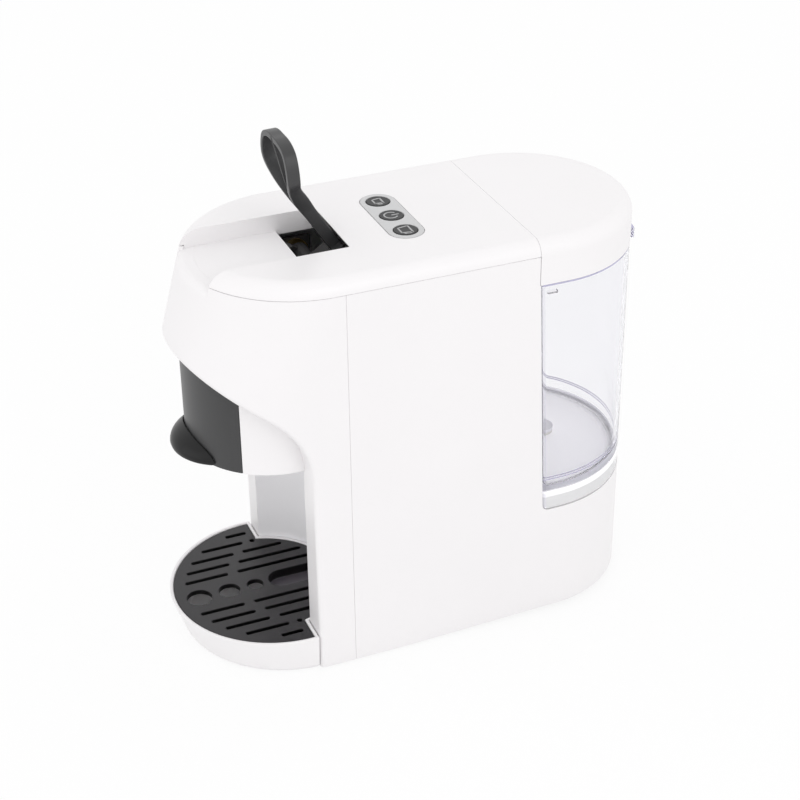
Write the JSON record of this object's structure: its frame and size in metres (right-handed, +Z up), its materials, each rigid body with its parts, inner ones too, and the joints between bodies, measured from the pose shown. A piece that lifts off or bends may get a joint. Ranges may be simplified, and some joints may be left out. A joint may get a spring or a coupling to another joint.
{
  "type": "pod coffee machine",
  "caption": "Slim white capsule coffee machine with a lever-driven brew head, capsule drawer, drip tray, top buttons and a clear rear water tank.",
  "frame": {"origin": "on the counter, at the centre of the machine's bounding box", "axes": "+Z up, -Y towards the person at the front, +X to that person's right"},
  "size_m": [0.12, 0.2684, 0.2859],
  "materials": {
    "white_shell": "moulded white ABS, satin to low gloss",
    "column_grey": "moulded pale grey ABS, satin",
    "black_satin": "moulded black plastic, satin",
    "grid_graphite": "moulded dark grey plastic, fine matt grain",
    "pad_silver": "pale silver grey moulded plastic, satin",
    "button_dark": "dark grey moulded plastic with a paler printed icon",
    "clear_tank": "clear moulded plastic with a faint lavender tint",
    "dark_frame": "dark glass-filled plastic",
    "light_frame": "natural moulded plastic",
    "foot_rubber": "matt black rubber",
    "silicone": "translucent silicone rubber",
    "steel": "turned or pressed steel",
    "brass": "machined brass",
    "coil_frame": "wound coil in a steel yoke",
    "alloy": "die-cast aluminium, as cast",
    "circuit_board": "green fibre board with black components"
  },
  "bodies": {
    "root": {"front_casing": "white_shell", "rear_casing": "white_shell", "column_panel": "column_grey", "base_plate": "dark_frame", "foot_front_left": "foot_rubber", "foot_front_right": "foot_rubber", "foot_rear_left": "foot_rubber", "foot_rear_right": "foot_rubber", "base_screw_1": "steel", "base_screw_2": "steel", "base_screw_3": "steel", "base_screw_4": "steel", "top_cover": "white_shell", "button_pad": "pad_silver", "button_board": "circuit_board", "lever_axle": "steel", "lever_bush_left": "brass", "lever_bush_right": "brass", "brew_frame": "dark_frame", "guide_rod_left": "steel", "guide_rod_right": "steel", "tank_socket": "dark_frame", "socket_seal": "silicone", "pump_body": "dark_frame", "pump_coil": "coil_frame", "pump_mount_front": "foot_rubber", "pump_mount_rear": "foot_rubber", "relief_valve": "brass", "flow_meter_body": "dark_frame", "flow_meter_cap": "dark_frame", "thermoblock": "alloy", "heater_bracket": "steel", "thermostat": "dark_frame", "control_board": "circuit_board", "board_carrier": "light_frame", "cord_gland": "foot_rubber", "hose_tank": "silicone", "hose_pump_inlet": "silicone", "hose_heater": "silicone"},
    "lever": {"lever_handle": "black_satin", "lever_crank": "dark_frame"},
    "carriage": {"brew_carriage": "dark_frame", "brew_piston": "dark_frame", "piston_seal": "silicone", "water_needle": "steel", "hose_brew": "silicone"},
    "drawer": {"drawer_front": "black_satin", "capsule_drawer": "dark_frame"},
    "tray": {"drip_tray": "white_shell"},
    "grid": {"drip_grid": "grid_graphite"},
    "tank": {"water_tank": "clear_tank", "valve_seal": "silicone"},
    "lid": {"tank_lid": "white_shell"},
    "outlet_valve": {"tank_valve": "dark_frame", "valve_spring": "steel"},
    "small_cup_button": {"button_small_cup": "button_dark"},
    "power_button": {"button_power": "button_dark"},
    "large_cup_button": {"button_large_cup": "button_dark"},
    "plunger": {"pump_plunger": "steel"},
    "rotor": {"flow_meter_rotor": "light_frame"}
  },
  "joints": [
    {"name": "lever_swing", "type": "hinge", "parent": "root", "child": "lever", "pos_m": [0, -0.0462, 0.209], "axis": [1, 0, 0], "range_deg": [0, 57.5]},
    {"name": "carriage_travel", "type": "slide", "parent": "root", "child": "carriage", "axis": [0, 0, -1], "range_m": [0, 0.0097], "deforming": ["hose_brew"]},
    {"name": "drawer_slide", "type": "slide", "parent": "root", "child": "drawer", "axis": [0, -1, 0], "range_m": [0, 0.05]},
    {"name": "tray_slide", "type": "slide", "parent": "root", "child": "tray", "axis": [0, -1, 0], "range_m": [0, 0.06]},
    {"name": "grid_lift", "type": "slide", "parent": "tray", "child": "grid", "axis": [0, 0, 1], "range_m": [0, 0.02]},
    {"name": "tank_lift", "type": "slide", "parent": "root", "child": "tank", "axis": [0, 0, 1], "range_m": [0, 0.06]},
    {"name": "lid_lift", "type": "slide", "parent": "tank", "child": "lid", "axis": [0, 0, 1], "range_m": [0, 0.03]},
    {"name": "outlet_valve_lift", "type": "slide", "parent": "tank", "child": "outlet_valve", "axis": [0, 0, 1], "range_m": [0, 0.0025], "stiffness_N_per_m": 120, "deforming": ["valve_spring"]},
    {"name": "small_cup_press", "type": "slide", "parent": "root", "child": "small_cup_button", "axis": [0, 0, -1], "range_m": [0, 0.0012], "stiffness_N_per_m": 150},
    {"name": "power_press", "type": "slide", "parent": "root", "child": "power_button", "axis": [0, 0, -1], "range_m": [0, 0.0012], "stiffness_N_per_m": 150},
    {"name": "large_cup_press", "type": "slide", "parent": "root", "child": "large_cup_button", "axis": [0, 0, -1], "range_m": [0, 0.0012], "stiffness_N_per_m": 150},
    {"name": "pump_stroke", "type": "slide", "parent": "root", "child": "plunger", "axis": [0, 1, 0], "range_m": [-0.002, 0.002], "stiffness_N_per_m": 1500},
    {"name": "rotor_spin", "type": "hinge", "parent": "root", "child": "rotor", "pos_m": [-0.028, 0.024, 0.03], "axis": [0, 0, 1], "continuous": true}
  ],
  "couplings": [
    {"joint": "carriage_travel", "follows": "lever_swing", "m_per_rad": 0.009583}
  ]
}
